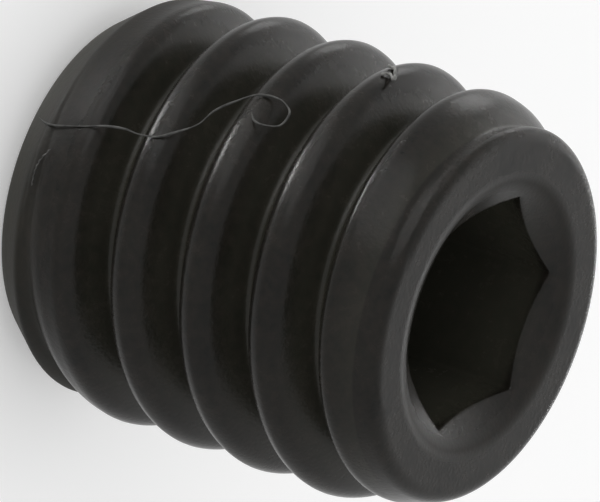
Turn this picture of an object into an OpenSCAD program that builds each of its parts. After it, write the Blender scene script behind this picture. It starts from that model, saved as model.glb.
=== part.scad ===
// Grub set screw: a headless screw, threaded over its whole length, hexagon socket at one end, cup point at the
// other. The screw's axis is Z, it stands on its point, the socket end is up. Millimetres.

/* [Thread] */
// outside diameter over the crests
major_d = 4.1; // [3.8:0.05:6]
// axial distance from one crest to the next
pitch = 0.794; // [0.72:0.001:1.2]
// how deep the groove is cut below the crests
thread_depth = 0.435; // [0.2:0.005:0.53]
// angle between the two flanks of the groove
thread_angle = 60; // [50:1:66]
// radius at the bottom of the groove
root_r = 0.06; // [0.03:0.01:0.12]
// angle about the axis at which the groove's centre line meets the plane of the point end
thread_start = -100; // [-180:5:180]
// turns above the point end at which the groove starts
run_in_start = 0.42; // [0:0.01:0.8]
// turns over which the groove then deepens to its full depth
run_in_turns = 0.5; // [0.1:0.05:1.5]
// share of its depth that the groove still has at the socket end
run_out_share = 0.5; // [0.2:0.01:1]
// turns over which the groove grows shallower towards the socket end
run_out_turns = 0.77; // [0.1:0.01:1.5]

/* [Blank] */
// length from the point to the socket end
length = 4.43; // [3.6:0.01:12]
// how far the chamfer at the socket end reaches in from the crests
face_chamfer = 0.26; // [0.05:0.01:0.5]
// angle between the chamfer at the socket end and the axis
face_chamfer_angle = 20; // [18:1:60]
// how far the chamfer at the point end reaches in from the crests
point_chamfer = 0.4; // [0.05:0.005:0.75]
// angle between the chamfer at the point end and the axis
point_chamfer_angle = 36; // [30:1:60]
// share of that reach that is made up by a slow taper over the first crests
taper_share = 0.29; // [0.05:0.01:0.6]
// axial length of the slow taper
taper_rise = 0.65; // [0.1:0.01:0.8]

/* [Socket] */
// distance across the flats of the hexagon
socket_af = 1.98; // [1:0.01:2.1]
// depth of the hexagon below the socket end
socket_depth = 2; // [1:0.1:2.6]
// turn of the hexagon about the axis
socket_turn = 0; // [0:5:55]
// how far the countersink at the socket end reaches past the hexagon's corners
countersink_reach = 0.24; // [0.05:0.01:0.3]
// included angle of the countersink
countersink_angle = 140; // [90:1:150]
// included angle of the drill point below the hexagon
drill_angle = 118; // [90:1:140]

/* [Point] */
// width of the flat rim between the cup and the chamfer at the point end
rim_width = 0.65; // [0.1:0.005:0.9]
// included angle of the cup
cup_angle = 118; // [90:1:130]

/* [Hidden] */
steel = [0.16, 0.16, 0.15];
steps = 48;        // sections of the groove in one turn
root_steps = 2;    // chords in each half of the rounded root
over = 0.05;       // how far a cutter reaches past the surface it starts from
round_fn = 96;

major_r = major_d / 2;
face_r = major_r - face_chamfer;
point_r = major_r - point_chamfer;
socket_r = socket_af / 2;
corner_r = socket_r / cos(30);
half_angle = thread_angle / 2;
// centre of the rounded root, and where its arc meets the flanks
root_centre = major_r - thread_depth + root_r;
tangent_r = root_centre - root_r * sin(half_angle);
tangent_z = root_r * cos(half_angle);
// the cutter's section reaches past the crests along the flanks
mouth_r = major_r + over;
mouth_z = tangent_z + (mouth_r - tangent_r) * tan(half_angle);

// the groove's section as [radius, height], from the lower edge of its mouth round the root to the upper edge
function root_point(a) = [root_centre - root_r * cos(a), root_r * sin(a)];
root_reach = 90 - half_angle;
section = concat(
    [[mouth_r, -mouth_z]],
    [for (i = [-root_steps:root_steps]) root_point(root_reach * i / root_steps)],
    [[mouth_r, mouth_z]]);

// share of its full depth that the groove has, t turns above the point end
end_turn = length / pitch;
function depth_share(t) = min(1, max(0, (t - run_in_start) / run_in_turns),
    run_out_share + (1 - run_out_share) * max(0, end_turn - t) / run_out_turns);

// the groove starts outside the blank and runs to above the socket end
turns = ceil(end_turn + 1);
sections = turns * steps;
corners = len(section);
function sweep_point(i, p) =
    let (t = i / steps, angle = thread_start + 360 * t, r = p[0] + (thread_depth + over) * (1 - depth_share(t)))
    [r * cos(angle), r * sin(angle), p[1] + pitch * t];
sweep_points = [for (i = [0:sections]) for (p = section) sweep_point(i, p)];
function corner(i, j) = i * corners + j % corners;
sweep_sides = [for (i = [0:sections - 1]) for (j = [0:corners - 1]) each [
    [corner(i, j), corner(i + 1, j + 1), corner(i, j + 1)],
    [corner(i, j), corner(i + 1, j), corner(i + 1, j + 1)]]];
first_end = [for (j = [0:corners - 1]) corner(0, j)];
last_end = [for (j = [0:corners - 1]) corner(sections, corners - 1 - j)];

module thread_groove() {
    polyhedron(points = sweep_points, faces = concat(sweep_sides, [first_end, last_end]));
}

module blank() {
    face_rise = face_chamfer / tan(face_chamfer_angle);
    taper = point_chamfer * taper_share;
    point_rise = (point_chamfer - taper) / tan(point_chamfer_angle);
    rotate_extrude($fn = round_fn)
        polygon([[0, 0], [point_r, 0], [major_r - taper, point_rise], [major_r, point_rise + taper_rise],
            [major_r, length - face_rise], [face_r, length], [0, length]]);
}

module hex_socket() {
    // the drill is as wide as the flats are apart
    drill_rise = socket_r / tan(drill_angle / 2);
    sink_r = corner_r + countersink_reach;
    sink_slope = tan(countersink_angle / 2);
    translate([0, 0, length - socket_depth])
        rotate([0, 0, socket_turn])
            cylinder(h = socket_depth + over, r = corner_r, $fn = 6);
    rotate_extrude($fn = round_fn)
        polygon([[0, length - socket_depth - drill_rise], [socket_r, length - socket_depth],
            [socket_r, length + over], [0, length + over]]);
    rotate_extrude($fn = round_fn)
        polygon([[0, length - sink_r / sink_slope], [sink_r + over * sink_slope, length + over],
            [0, length + over]]);
}

module point_cup() {
    cup_r = point_r - rim_width;
    cup_slope = tan(cup_angle / 2);
    rotate_extrude($fn = round_fn)
        polygon([[0, -over], [cup_r + over * cup_slope, -over], [0, cup_r / cup_slope]]);
}

module set_screw() {
    color(steel)
        difference() {
            blank();
            thread_groove();
            hex_socket();
            point_cup();
        }
}

set_screw();
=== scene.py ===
"""Looks of a grub set screw: a finely meshed thread with rounded edges, black oxide and a little lint."""
import math

import bpy
import numpy as np
from mathutils import Matrix, Vector


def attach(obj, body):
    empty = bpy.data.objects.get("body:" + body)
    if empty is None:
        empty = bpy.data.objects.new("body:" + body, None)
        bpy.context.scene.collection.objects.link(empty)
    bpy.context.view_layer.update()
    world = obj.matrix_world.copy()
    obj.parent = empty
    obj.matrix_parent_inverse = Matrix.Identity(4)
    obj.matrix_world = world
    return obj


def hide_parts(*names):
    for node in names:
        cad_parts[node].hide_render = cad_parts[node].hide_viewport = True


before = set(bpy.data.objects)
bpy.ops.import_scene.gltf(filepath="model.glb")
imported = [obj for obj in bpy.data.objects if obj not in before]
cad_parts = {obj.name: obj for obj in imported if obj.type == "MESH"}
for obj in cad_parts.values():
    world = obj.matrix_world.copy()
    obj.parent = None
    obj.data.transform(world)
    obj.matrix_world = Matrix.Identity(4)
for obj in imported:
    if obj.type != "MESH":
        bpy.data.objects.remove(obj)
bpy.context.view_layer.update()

MM = 0.001
FULL_TURN = 2 * math.pi

# Thread, in millimetres, as in the part's source
MAJOR_R = 2.05
PITCH = 0.794
DEPTH = 0.435
HALF_ANGLE = math.radians(30)
ROOT_R = 0.06
THREAD_START = math.radians(-100)
RUN_IN_START = 0.42
RUN_IN_TURNS = 0.5
RUN_OUT_SHARE = 0.5
RUN_OUT_TURNS = 0.77
OVER = 0.05
ROOT_CENTRE = MAJOR_R - DEPTH + ROOT_R
TANGENT_R = ROOT_CENTRE - ROOT_R * math.sin(HALF_ANGLE)
TANGENT_Z = ROOT_R * math.cos(HALF_ANGLE)

# Blank
LENGTH = 4.43
FACE_R = MAJOR_R - 0.26
FACE_CHAMFER = math.radians(20)
POINT_REACH = 0.4
POINT_R = MAJOR_R - POINT_REACH
POINT_CHAMFER = math.radians(36)
TAPER = POINT_REACH * 0.29
TAPER_RISE = 0.65
TAPER_START = (MAJOR_R - POINT_R - TAPER) / math.tan(POINT_CHAMFER)

# Socket, countersink and cup; the countersink is a little narrower and steeper than in the part's source
SOCKET_R = 1.98 / 2
CORNER_R = SOCKET_R / math.cos(math.radians(30))
SOCKET_DEPTH = 2.0
SOCKET_FLOOR = LENGTH - SOCKET_DEPTH
DRILL_HALF = math.radians(59)
SINK_R = CORNER_R + 0.19
SINK_HALF = math.radians(62)
CUP_R = POINT_R - 0.65
CUP_HALF = math.radians(59)

# Width over which each kind of edge is rounded
CREST_ROUND = 0.13
END_ROUND = 0.10
POINT_ROUND = END_ROUND / 2
TAPER_ROUND = 0.01
LIP_ROUND = 0.035
HEX_ROUND = 0.02

# Meshing: corners round the axis, and how finely each ray looks for the surface
AROUND = 252
RAY_STEPS = 60
HALVINGS = 18
# The rays start inside the metal: down to the cup and the point end's rim, closer together at the cup's edge
CUP_RAY_Z = 1.2
CUP_REACH = 1.6
CUP_RAYS = ((0.1, CUP_R - 0.08, 8), (CUP_R - 0.06, CUP_R + 0.06, 7), (CUP_R + 0.1, 1.45, 5))
# Out to the thread, with a fan of rays round each end of the blank
WALL_RAY_R = 1.5
WALL_REACH = 1.0
WALL_RAYS = 226
FAN_EDGE = 0.12
POINT_FAN = 22
FACE_FAN = 26
# Round the socket's lip, then in to the socket and the drilled hole
LIP_RAY_R = 1.42
LIP_RAY_Z = LENGTH - 0.3
LIP_FAN = 30
SOCKET_RAY_R = 1.35
SOCKET_REACH = 1.4
SOCKET_RAYS = ((LENGTH - 0.36, SOCKET_FLOOR + 0.02, 14), (SOCKET_FLOOR - 0.02, SOCKET_FLOOR - 0.57, 9))

# Painted light: how far below the crests the groove's colour begins to be lifted, and over what depth it is
CREST_BAND = 0.08
GROOVE_FADE = 0.2
# Height of the band at the socket end that keeps the crests' colour, without painted light
FACE_BAND = 0.2
# Painted light down the socket, in two fades: how far below the socket end each begins, and its height
SOCKET_FADES = ((0.17, 0.06), (0.1, 0.3))
# The socket's points lie within this of its corners' radius and above this height
SOCKET_MARGIN = 0.05
SOCKET_ABOVE = 1
# The matt point end: the height and the depth below the crests at which it ends, and how fast it fades in
FOOT_TOP = 0.75
FOOT_FADE = 0.25
FOOT_DEPTH = 0.5
FOOT_DEPTH_FADE = 0.2
# The matt lip of the countersink: how far inside the countersink's rim its middle lies, and its half width
LIP_INSET = 0.03
LIP_HALF = 0.12


def soft_max(a, b, k):
    """The larger of a and b, with the edge between them rounded over a width k."""
    h = np.maximum(k - np.abs(a - b), 0) / k
    return np.maximum(a, b) + h * h * k / 4


def groove(phi, r, z):
    """Distance-like value: negative in the metal beside the groove, positive in the groove."""
    lead = (phi - THREAD_START) / FULL_TURN
    height = z / PITCH - lead
    off_centre = np.abs(height - np.round(height)) * PITCH
    turns = np.round(height) + lead
    run_in = (turns - RUN_IN_START) / RUN_IN_TURNS
    left = np.maximum(0, LENGTH / PITCH - turns)
    run_out = RUN_OUT_SHARE + (1 - RUN_OUT_SHARE) * left / RUN_OUT_TURNS
    r = r - (DEPTH + OVER) * (1 - np.clip(np.minimum(run_in, run_out), 0, 1))
    flank = (r - TANGENT_R) * math.sin(HALF_ANGLE) - (off_centre - TANGENT_Z) * math.cos(HALF_ANGLE)
    arc = ROOT_R - np.hypot(np.minimum(r - ROOT_CENTRE, 0), off_centre)
    root = np.where(r < ROOT_CENTRE, arc, ROOT_R - off_centre)
    near_root = np.where(r < TANGENT_R, root, np.maximum(root, flank))
    return np.where(off_centre < TANGENT_Z, near_root, flank)


def blank(r, z):
    """The turned blank without its ends: cylinder, both chamfers and the slow taper."""
    chamfer = (r - FACE_R - (LENGTH - z) * math.tan(FACE_CHAMFER)) * math.cos(FACE_CHAMFER)
    f = soft_max(r - MAJOR_R, chamfer, END_ROUND)
    chamfer = (r - POINT_R - z * math.tan(POINT_CHAMFER)) * math.cos(POINT_CHAMFER)
    f = soft_max(f, chamfer, END_ROUND)
    taper = r - MAJOR_R + TAPER - (z - TAPER_START) * TAPER / TAPER_RISE
    return soft_max(f, taper, TAPER_ROUND)


def hexagon(phi, r, z):
    """The hexagon socket down to its floor."""
    turn = np.mod(phi, math.pi / 3) - math.pi / 6
    return np.minimum(SOCKET_R - r * np.cos(turn), z - SOCKET_FLOOR)


def drill(r, z):
    """The drilled hole with its conical bottom."""
    cone_z = SOCKET_FLOOR - (SOCKET_R - r) / math.tan(DRILL_HALF)
    return np.minimum(SOCKET_R - r, (z - cone_z) * math.sin(DRILL_HALF))


def outside(phi, r, z):
    """Distance-like value over the whole screw: negative in the metal."""
    f = soft_max(blank(r, z), groove(phi, r, z), CREST_ROUND)
    f = soft_max(f, z - LENGTH, END_ROUND)
    f = soft_max(f, -z, POINT_ROUND)
    sink = (SINK_R - (LENGTH - z) * math.tan(SINK_HALF) - r) * math.cos(SINK_HALF)
    f = soft_max(f, sink, LIP_ROUND)
    f = soft_max(f, hexagon(phi, r, z), HEX_ROUND)
    f = np.maximum(f, drill(r, z))
    cup = (CUP_R - z * math.tan(CUP_HALF) - r) * math.cos(CUP_HALF)
    return soft_max(f, cup, LIP_ROUND)


def spread(rows):
    """Evenly spaced values; each row says the first, the last and how many."""
    return np.concatenate([np.linspace(first, last, count) for first, last, count in rows])


def fan(r, z, first, last, count):
    """Rays from one place in the half plane, turned from the first angle to the last, degrees."""
    angles = [math.radians(a) for a in np.linspace(first, last, count)]
    return [(r, z, math.cos(a), math.sin(a), WALL_REACH) for a in angles]


def surface_rays():
    """Rays in the half plane, from cup to socket: start r, start z, direction r, direction z, reach."""
    top = LENGTH - FAN_EDGE
    rays = [(r, CUP_RAY_Z, 0, -1, CUP_REACH) for r in spread(CUP_RAYS)]
    rays += fan(WALL_RAY_R, FAN_EDGE, -90, 0, POINT_FAN)
    rays += [(WALL_RAY_R, z, 1, 0, WALL_REACH) for z in np.linspace(FAN_EDGE, top, WALL_RAYS)[1:-1]]
    rays += fan(WALL_RAY_R, top, 0, 90, FACE_FAN)
    rays += [((WALL_RAY_R + LIP_RAY_R) / 2, top, 0, 1, WALL_REACH)]
    rays += fan(LIP_RAY_R, LIP_RAY_Z, 90, 180, LIP_FAN)
    rays += [(SOCKET_RAY_R, z, -1, 0, SOCKET_REACH) for z in spread(SOCKET_RAYS)]
    return np.array(rays, float)


def first_exit(phi, rays):
    """For each angle and ray, how far along the ray the metal ends."""
    column = phi[:, None]
    r0, z0, dr, dz, reach = (rays[None, :, i] for i in range(5))
    inner = np.zeros((len(phi), len(rays)))
    outer = np.full_like(inner, np.nan)
    for step in range(1, RAY_STEPS + 1):
        t = reach * step / RAY_STEPS + np.zeros_like(inner)
        in_metal = outside(column, r0 + t * dr, z0 + t * dz) < 0
        unfound = np.isnan(outer)
        inner = np.where(unfound & in_metal, t, inner)
        outer = np.where(unfound & ~in_metal, t, outer)
    outer = np.where(np.isnan(outer), reach, outer)
    for _ in range(HALVINGS):
        t = (inner + outer) / 2
        in_metal = outside(column, r0 + t * dr, z0 + t * dz) < 0
        inner = np.where(in_metal, t, inner)
        outer = np.where(in_metal, outer, t)
    return (inner + outer) / 2


def fade(amount, reach):
    """0 where the amount is negative, rising to 1 where it is the reach."""
    return np.clip(amount / reach, 0, 1)


def recess_of(r, z):
    """Painted light that lifts the base colour where shade falls: 0 on the crests and the socket end, 1 in
    the groove, up to 2 in the socket.
    """
    recess_painted_light = fade(MAJOR_R - CREST_BAND - r, GROOVE_FADE)
    recess_painted_light = np.where((z > LENGTH - FACE_BAND) & (r > CORNER_R), 0, recess_painted_light)
    in_socket = (r < CORNER_R + SOCKET_MARGIN) & (z > SOCKET_ABOVE)
    socket = sum(fade(LENGTH - start - z, reach) for start, reach in SOCKET_FADES)
    return np.where(in_socket, socket, recess_painted_light)


def matt_of(r, z):
    """1 where the point end and the socket's lip are matt, 0 elsewhere."""
    foot = fade(FOOT_TOP - z, FOOT_FADE) * fade(r - MAJOR_R + FOOT_DEPTH, FOOT_DEPTH_FADE)
    lip = np.clip(1 - np.abs(r - SINK_R + LIP_INSET) / LIP_HALF, 0, 1) * (z > LENGTH - FACE_BAND)
    return np.maximum(foot, lip)


def point_values(mesh, name, values, tips):
    """Stores one value for each point of the mesh; the cup's and the drill's tips come last."""
    layer = mesh.attributes.new(name, "FLOAT", "POINT")
    layer.data.foreach_set("value", np.append(values.reshape(-1), tips).astype(np.float32))


def screw_mesh():
    """The screw as one mesh: a grid of angles by rays, closed by a tip in the cup and in the drilled hole."""
    phi = np.arange(AROUND) * FULL_TURN / AROUND
    rays = surface_rays()
    t = first_exit(phi, rays)
    r = rays[None, :, 0] + t * rays[None, :, 2]
    z = rays[None, :, 1] + t * rays[None, :, 3]
    x = r * np.cos(phi)[:, None]
    y = r * np.sin(phi)[:, None]
    cup_tip = [0, 0, CUP_R / math.tan(CUP_HALF)]
    drill_tip = [0, 0, SOCKET_FLOOR - SOCKET_R / math.tan(DRILL_HALF)]
    points = np.vstack([np.stack([x, y, z], axis=2).reshape(-1, 3), [cup_tip, drill_tip]]) * MM
    count = len(rays)
    here = np.arange(AROUND) * count
    beside = np.roll(here, -1)
    row = np.arange(count - 1)
    a, b = here[:, None] + row, beside[:, None] + row
    faces = np.stack([a, b, b + 1, a + 1], axis=2).reshape(-1, 4).tolist()
    cup_point, drill_point = len(points) - 2, len(points) - 1
    faces += [[cup_point, int(b), int(a)] for a, b in zip(here, beside)]
    faces += [[int(a) + count - 1, int(b) + count - 1, drill_point] for a, b in zip(here, beside)]
    mesh = bpy.data.meshes.new("screw_body")
    mesh.from_pydata(points.tolist(), [], faces)
    mesh.validate()
    mesh.shade_smooth()
    point_values(mesh, "matt", matt_of(r, z), [0, 0])
    # this attribute carries painted light: how much the base colour is lifted in the shaded recesses
    point_values(mesh, "recess_painted_light", recess_of(r, z), [1, 2])
    return mesh


def in_scene(name, data):
    """A new object of the scene."""
    thing = bpy.data.objects.new(name, data)
    bpy.context.scene.collection.objects.link(thing)
    return thing


# Steel: waves per metre of each noise, and the colours that each of them runs between
BLOTCH_SCALE = 1400
FLECK_SCALE = 9000
GRAIN_SCALE = 26000
TINT_DARK = (0.0030, 0.0030, 0.0023)
TINT_PALE = (0.0076, 0.0071, 0.0055)
WARM_DARK = (0.001, 0.0012, 0.001)
WARM_PALE = (0.0074, 0.0054, 0.0046)
# Painted light: what a recess adds to the colour, where shade falls
RECESS_PAINTED_LIGHT = (0.0115, 0.0117, 0.0087)
# Least and most roughness of the mottled steel, what a matt place adds, and the grain's height in metres
SATIN_LOW = 0.2
SATIN_HIGH = 0.31
MATT_ROUGHNESS = 0.3
GRAIN_HEIGHT = 0.000006


def new_material(name):
    """A material, its node tree and its shader."""
    material = bpy.data.materials.new(name)
    material.use_nodes = True
    return material, material.node_tree, material.node_tree.nodes["Principled BSDF"]


def add_node(tree, kind, inputs, operation=None):
    """A new node; each of its inputs is given a value or the output of another node."""
    node = tree.nodes.new("ShaderNode" + kind)
    if operation:
        node.operation = operation
    for name, value in inputs.items():
        if isinstance(value, bpy.types.NodeSocket):
            tree.links.new(value, node.inputs[name])
        else:
            node.inputs[name].default_value = value
    return node


def noise(tree, scale, detail=2.0, roughness=0.5):
    """Noise that lies fixed in the object; scale is in waves per metre."""
    place = tree.nodes.new("ShaderNodeTexCoord").outputs["Object"]
    settings = {"Vector": place, "Scale": scale, "Detail": detail, "Roughness": roughness}
    return add_node(tree, "TexNoise", settings).outputs["Fac"]


def two_tone(tree, value, low, high):
    """A colour between two; each is given as the value it stands at and its red, green and blue."""
    ramp = add_node(tree, "ValToRGB", {"Fac": value})
    for element, (position, colour) in zip(ramp.color_ramp.elements, (low, high)):
        element.position = position
        element.color = (*colour, 1)
    return ramp.outputs["Color"]


def attribute(tree, name):
    """One of the values stored with the points of the mesh."""
    node = tree.nodes.new("ShaderNodeAttribute")
    node.attribute_name = name
    return node.outputs["Fac"]


def black_oxide():
    """Black oxide, finely mottled, with painted light that makes it paler in the shaded recesses, matt at the
    point end and at the socket's lip.
    """
    material, tree, shader = new_material("black_oxide_steel")
    blotch = noise(tree, BLOTCH_SCALE, detail=4)
    fleck = noise(tree, FLECK_SCALE, detail=5, roughness=0.65)
    grain = noise(tree, GRAIN_SCALE, detail=3)
    tint = two_tone(tree, blotch, (0.35, TINT_DARK), (0.68, TINT_PALE))
    warm = two_tone(tree, fleck, (0.32, WARM_DARK), (0.68, WARM_PALE))
    speckled = add_node(tree, "VectorMath", {0: tint, 1: warm}, "ADD").outputs["Vector"]
    # painted light: the base colour is lifted in the groove and down the socket, where shade falls
    recess_painted_light_mix = {0: attribute(tree, "recess_painted_light"), 1: RECESS_PAINTED_LIGHT, 2: speckled}
    colour = add_node(tree, "VectorMath", recess_painted_light_mix, "MULTIPLY_ADD").outputs["Vector"]
    tree.links.new(colour, shader.inputs["Base Color"])
    half_blotch = add_node(tree, "Math", {0: blotch, 1: 0.5}, "MULTIPLY").outputs[0]
    mixed = add_node(tree, "Math", {0: fleck, 1: 0.5, 2: half_blotch}, "MULTIPLY_ADD").outputs[0]
    levels = {"Value": mixed, "From Min": 0.3, "From Max": 0.7, "To Min": SATIN_LOW, "To Max": SATIN_HIGH}
    satin = add_node(tree, "MapRange", levels).outputs["Result"]
    matt = {0: attribute(tree, "matt"), 1: MATT_ROUGHNESS, 2: satin}
    tree.links.new(add_node(tree, "Math", matt, "MULTIPLY_ADD").outputs[0], shader.inputs["Roughness"])
    bump = add_node(tree, "Bump", {"Height": grain, "Strength": 0.4, "Distance": GRAIN_HEIGHT})
    tree.links.new(bump.outputs["Normal"], shader.inputs["Normal"])
    shader.inputs["Metallic"].default_value = 0
    shader.inputs["IOR"].default_value = 1.5
    shader.inputs["Specular IOR Level"].default_value = 0.16
    return material


def lint(name, low, high):
    """Lint of a slightly yellow grey between two brightnesses."""
    material, tree, shader = new_material(name)
    dark = (low, low, low * 0.95)
    pale = (high, high, high * 0.95)
    tint = two_tone(tree, noise(tree, FLECK_SCALE), (0.35, dark), (0.7, pale))
    tree.links.new(tint, shader.inputs["Base Color"])
    shader.inputs["Roughness"].default_value = 0.7
    shader.inputs["Specular IOR Level"].default_value = 0.3
    return material


# The screw
screw = in_scene("screw_body", screw_mesh())
screw.data.materials.append(black_oxide())
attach(screw, "root")
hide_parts("set_screw")

# Lint, dirt that lies across the crests: how far its centre line is above them, the most that this rises, and
# how often it does, in radians along the fibre
LINT_REST = 0.009
LINT_RISE = 0.01
LINT_WAVES = 23
# Its thickness as a share of the fibre's own: the mean, the most that it changes, and how often
LINT_MEAN = 0.85
LINT_LUMP = 0.25
LINT_LUMPS = 41
# The share of its thickness that is left at the tips, and the share of the length over which they narrow
LINT_TIP = 0.25
LINT_TIP_SHARE = 1 / 25
# Sides of the tube, and its sections between two chosen points
LINT_SIDES = 7
LINT_STEPS = 8
# Each fibre's half thickness, then the points it passes, given along it: angle in degrees and height
FIBRES = [
    (0.011, [(77.1, 0.14), (79.2, 0.39), (77.8, 0.68), (75.7, 0.99), (74.6, 1.23), (74.6, 1.4), (73.6, 1.61),
             (70.5, 1.78), (66.6, 1.93), (61.9, 2.0), (57.1, 2.12), (54.0, 2.22), (52.2, 2.34), (51.7, 2.48),
             (52.5, 2.58), (55.0, 2.7), (59.5, 2.7), (61.0, 2.56), (60.6, 2.43), (58.6, 2.35)]),
    (0.007, [(85.7, 0.53), (88.5, 0.47), (91.3, 0.44), (93.9, 0.44), (96.7, 0.45)]),
    (0.018, [(23.0, 3.00), (23.6, 3.09), (26.8, 3.18), (30.0, 3.25), (27.6, 3.14), (29.0, 3.08)]),
]


def crest_r(z):
    """Radius over the crests at a height, with the taper and the chamfers."""
    taper = MAJOR_R - TAPER + (z - TAPER_START) * TAPER / TAPER_RISE
    point = POINT_R + z * math.tan(POINT_CHAMFER)
    face = FACE_R + (LENGTH - z) * math.tan(FACE_CHAMFER)
    return np.minimum(np.minimum(MAJOR_R, taper), np.minimum(point, face))


def smooth_line(knots):
    """Points on a smooth curve through the knots."""
    fine = np.linspace(0, len(knots) - 1, LINT_STEPS * len(knots))
    i = np.clip(fine.astype(int), 0, len(knots) - 2)
    t = (fine - i)[:, None]
    before, after = knots[np.maximum(i - 1, 0)], knots[np.minimum(i + 2, len(knots) - 1)]
    a, b = knots[i], knots[i + 1]
    line = a * (2 * t**3 - 3 * t**2 + 1) + b * (3 * t**2 - 2 * t**3)
    return line + (b - before) / 2 * (t**3 - 2 * t**2 + t) + (after - a) / 2 * (t**3 - t**2)


def fibre_tube(thickness, path):
    """Points and faces of a thin uneven tube along the path, pointed at both ends."""
    line = smooth_line(np.array(path))
    phi, z = np.radians(line[:, 0]), line[:, 1]
    share = np.linspace(0, 1, len(line))
    r = crest_r(z) + LINT_REST + LINT_RISE * np.sin(share * LINT_WAVES) ** 2
    centre = np.stack([r * np.cos(phi), r * np.sin(phi), z], axis=1)
    along = np.gradient(centre, axis=0)
    along /= np.linalg.norm(along, axis=1)[:, None]
    out = np.stack([np.cos(phi), np.sin(phi), 0 * phi], axis=1)
    side = np.cross(along, out)
    side /= np.linalg.norm(side, axis=1)[:, None]
    out = np.cross(side, along)
    pointed = np.clip(np.minimum(share, 1 - share) / LINT_TIP_SHARE, LINT_TIP, 1)
    width = thickness * (LINT_MEAN + LINT_LUMP * np.sin(share * LINT_LUMPS)) * pointed
    angle = np.arange(LINT_SIDES) * FULL_TURN / LINT_SIDES
    ring = np.cos(angle)[None, :, None] * out[:, None] + np.sin(angle)[None, :, None] * side[:, None]
    points = (centre[:, None] + ring * width[:, None, None]).reshape(-1, 3) * MM
    faces = []
    for start in range(0, (len(line) - 1) * LINT_SIDES, LINT_SIDES):
        for j in range(LINT_SIDES):
            a, b = start + j, start + (j + 1) % LINT_SIDES
            faces.append([a, b, b + LINT_SIDES, a + LINT_SIDES])
    faces.append(list(range(LINT_SIDES))[::-1])
    faces.append(list(range(len(points) - LINT_SIDES, len(points))))
    return points.tolist(), faces


def lint_mesh():
    """All fibres in one mesh; the last one, a small speck, has the paler lint."""
    points, faces = [], []
    for thickness, path in FIBRES:
        more_points, more_faces = fibre_tube(thickness, path)
        faces += [[len(points) + corner for corner in face] for face in more_faces]
        points += more_points
    mesh = bpy.data.meshes.new("lint_fibre")
    mesh.from_pydata(points, [], faces)
    for polygon in mesh.polygons[-len(more_faces):]:
        polygon.material_index = 1
    mesh.validate()
    mesh.shade_smooth()
    return mesh


fibre = in_scene("lint_fibre", lint_mesh())
fibre.data.materials.append(lint("lint", 0.025, 0.085))
fibre.data.materials.append(lint("lint_pale", 0.1, 0.22))
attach(fibre, "root")

# Camera: the angle between the screw's axis and the line of sight, and the axis's dip in the photograph
AXIS_TO_SIGHT = math.radians(58.5)
AXIS_DIP = math.radians(19.0)
# In pixels of the photograph: its width and centre, the place of the screw's middle, and the scale
PHOTO_WIDTH = 600
PHOTO_CENTRE = (300, 251)
SCREW_CENTRE = (296.0, 250.7)
PX_PER_MM = 107.04
# A very long lens, in millimetres, and the picture's width at the screw, in metres
LENS = 1000.0
SENSOR = 36.0
SPAN = PHOTO_WIDTH / PX_PER_MM * MM

MIDDLE = Vector((0, 0, LENGTH / 2 * MM))
RIGHT = Vector((math.sin(AXIS_DIP), -math.cos(AXIS_TO_SIGHT) * math.cos(AXIS_DIP),
                math.sin(AXIS_TO_SIGHT) * math.cos(AXIS_DIP)))
UP = Vector((math.cos(AXIS_DIP), math.cos(AXIS_TO_SIGHT) * math.sin(AXIS_DIP),
             -math.sin(AXIS_TO_SIGHT) * math.sin(AXIS_DIP)))
BACK = RIGHT.cross(UP)


def add_camera():
    """The camera with the photograph's view of the upright screw."""
    data = bpy.data.cameras.new("view")
    data.sensor_width = SENSOR
    data.lens = LENS
    data.clip_start = 0.001
    data.clip_end = 10
    camera = in_scene("view", data)
    px = SPAN / PHOTO_WIDTH
    right, down = PHOTO_CENTRE[0] - SCREW_CENTRE[0], PHOTO_CENTRE[1] - SCREW_CENTRE[1]
    aim = MIDDLE + RIGHT * (right * px) - UP * (down * px)
    turn = Matrix((RIGHT, UP, BACK)).transposed().to_4x4()
    camera.matrix_world = Matrix.Translation(aim + BACK * (SPAN * LENS / SENSOR)) @ turn
    bpy.context.scene.camera = camera


add_camera()


# Floor, lamps and world
def seen_by(tree, first, *others):
    """1 for a ray of one of these kinds, 0 for any other ray."""
    rays = tree.nodes.new("ShaderNodeLightPath").outputs
    seen = rays[first]
    for kind in others:
        seen = add_node(tree, "Math", {0: seen, 1: rays[kind]}, "MAXIMUM").outputs[0]
    return seen


FLOOR_HALF = 0.4
FLOOR_GREY = 0.82
FLOOR_LIFT = 0.25
WORLD_LIGHT = 0.75


def pale_floor():
    """A plain pale floor that looks a little brighter to the camera and in reflections."""
    material, tree, shader = new_material("pale_floor")
    shader.inputs["Base Color"].default_value = (FLOOR_GREY, FLOOR_GREY, FLOOR_GREY, 1)
    shader.inputs["Roughness"].default_value = 0.9
    shader.inputs["Specular IOR Level"].default_value = 0.1
    seen = seen_by(tree, "Is Camera Ray", "Is Glossy Ray")
    lift = add_node(tree, "Math", {0: seen, 1: FLOOR_LIFT}, "MULTIPLY").outputs[0]
    glow = add_node(tree, "Emission", {"Color": (1, 1, 1, 1), "Strength": lift}).outputs[0]
    both = add_node(tree, "AddShader", {0: shader.outputs[0], 1: glow}).outputs[0]
    tree.links.new(both, tree.nodes["Material Output"].inputs["Surface"])
    return material


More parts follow.
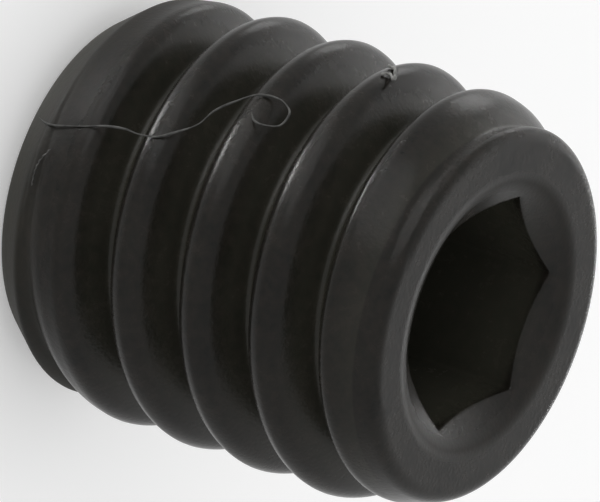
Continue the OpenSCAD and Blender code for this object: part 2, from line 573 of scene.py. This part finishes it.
corners = [(x * FLOOR_HALF, y * FLOOR_HALF, 0) for x, y in ((-1, -1), (1, -1), (1, 1), (-1, 1))]
floor_mesh = bpy.data.meshes.new("floor")
floor_mesh.from_pydata(corners, [], [(0, 1, 2, 3)])
floor_mesh.materials.append(pale_floor())
floor = in_scene("floor", floor_mesh)
floor.visible_shadow = False

# Each lamp's direction from the screw along the camera's right, up and back, then its distance and width in
# metres and its power in watts
LAMPS = {
    "key": ((-0.71, 0.59, -0.39), 0.06, 0.014, 0.008),
    "top": ((-0.08, 0.70, 0.71), 0.08, 0.07, 0.017),
    "rim": ((0.66, -0.13, -0.74), 0.08, 0.03, 0.0035),
    "side": ((0.88, 0.28, -0.37), 0.08, 0.08, 0.011),
    "back": ((0.40, 0.74, -0.54), 0.08, 0.03, 0.0055),
    "fill": ((-0.47, 0.85, 0.2), 0.08, 0.08, 0.022),
}


def add_lamp(name, direction, away, size, power):
    """A round soft lamp that points at the screw's middle.

    Some lamps are below the floor, which casts no shadow. Multiple importance sampling is off, because rays
    that leave the screw for such a lamp would end on the floor and its light would be lost.
    """
    data = bpy.data.lights.new(name, "AREA")
    data.shape = "DISK"
    data.size = size
    data.energy = power
    data.cycles.use_multiple_importance_sampling = False
    right, up, back = direction
    towards = (RIGHT * right + UP * up + BACK * back).normalized()
    holder = in_scene(name, data)
    holder.location = MIDDLE + towards * away
    holder.rotation_mode = "QUATERNION"
    holder.rotation_quaternion = towards.to_track_quat("Z", "Y")


for lamp_name, (direction, away, size, power) in LAMPS.items():
    add_lamp(lamp_name, direction, away, size, power)


def studio():
    """A white world, a little dimmer as a light than to the camera and in reflections."""
    world = bpy.data.worlds.new("studio")
    world.use_nodes = True
    tree = world.node_tree
    seen = seen_by(tree, "Is Camera Ray", "Is Glossy Ray", "Is Transmission Ray")
    span = {"Value": seen, "To Min": WORLD_LIGHT, "To Max": 1.0}
    level = add_node(tree, "MapRange", span).outputs["Result"]
    background = tree.nodes["Background"]
    background.inputs["Color"].default_value = (1, 1, 1, 1)
    tree.links.new(level, background.inputs["Strength"])
    return world


bpy.context.scene.world = studio()
bpy.context.scene.view_settings.view_transform = "Standard"
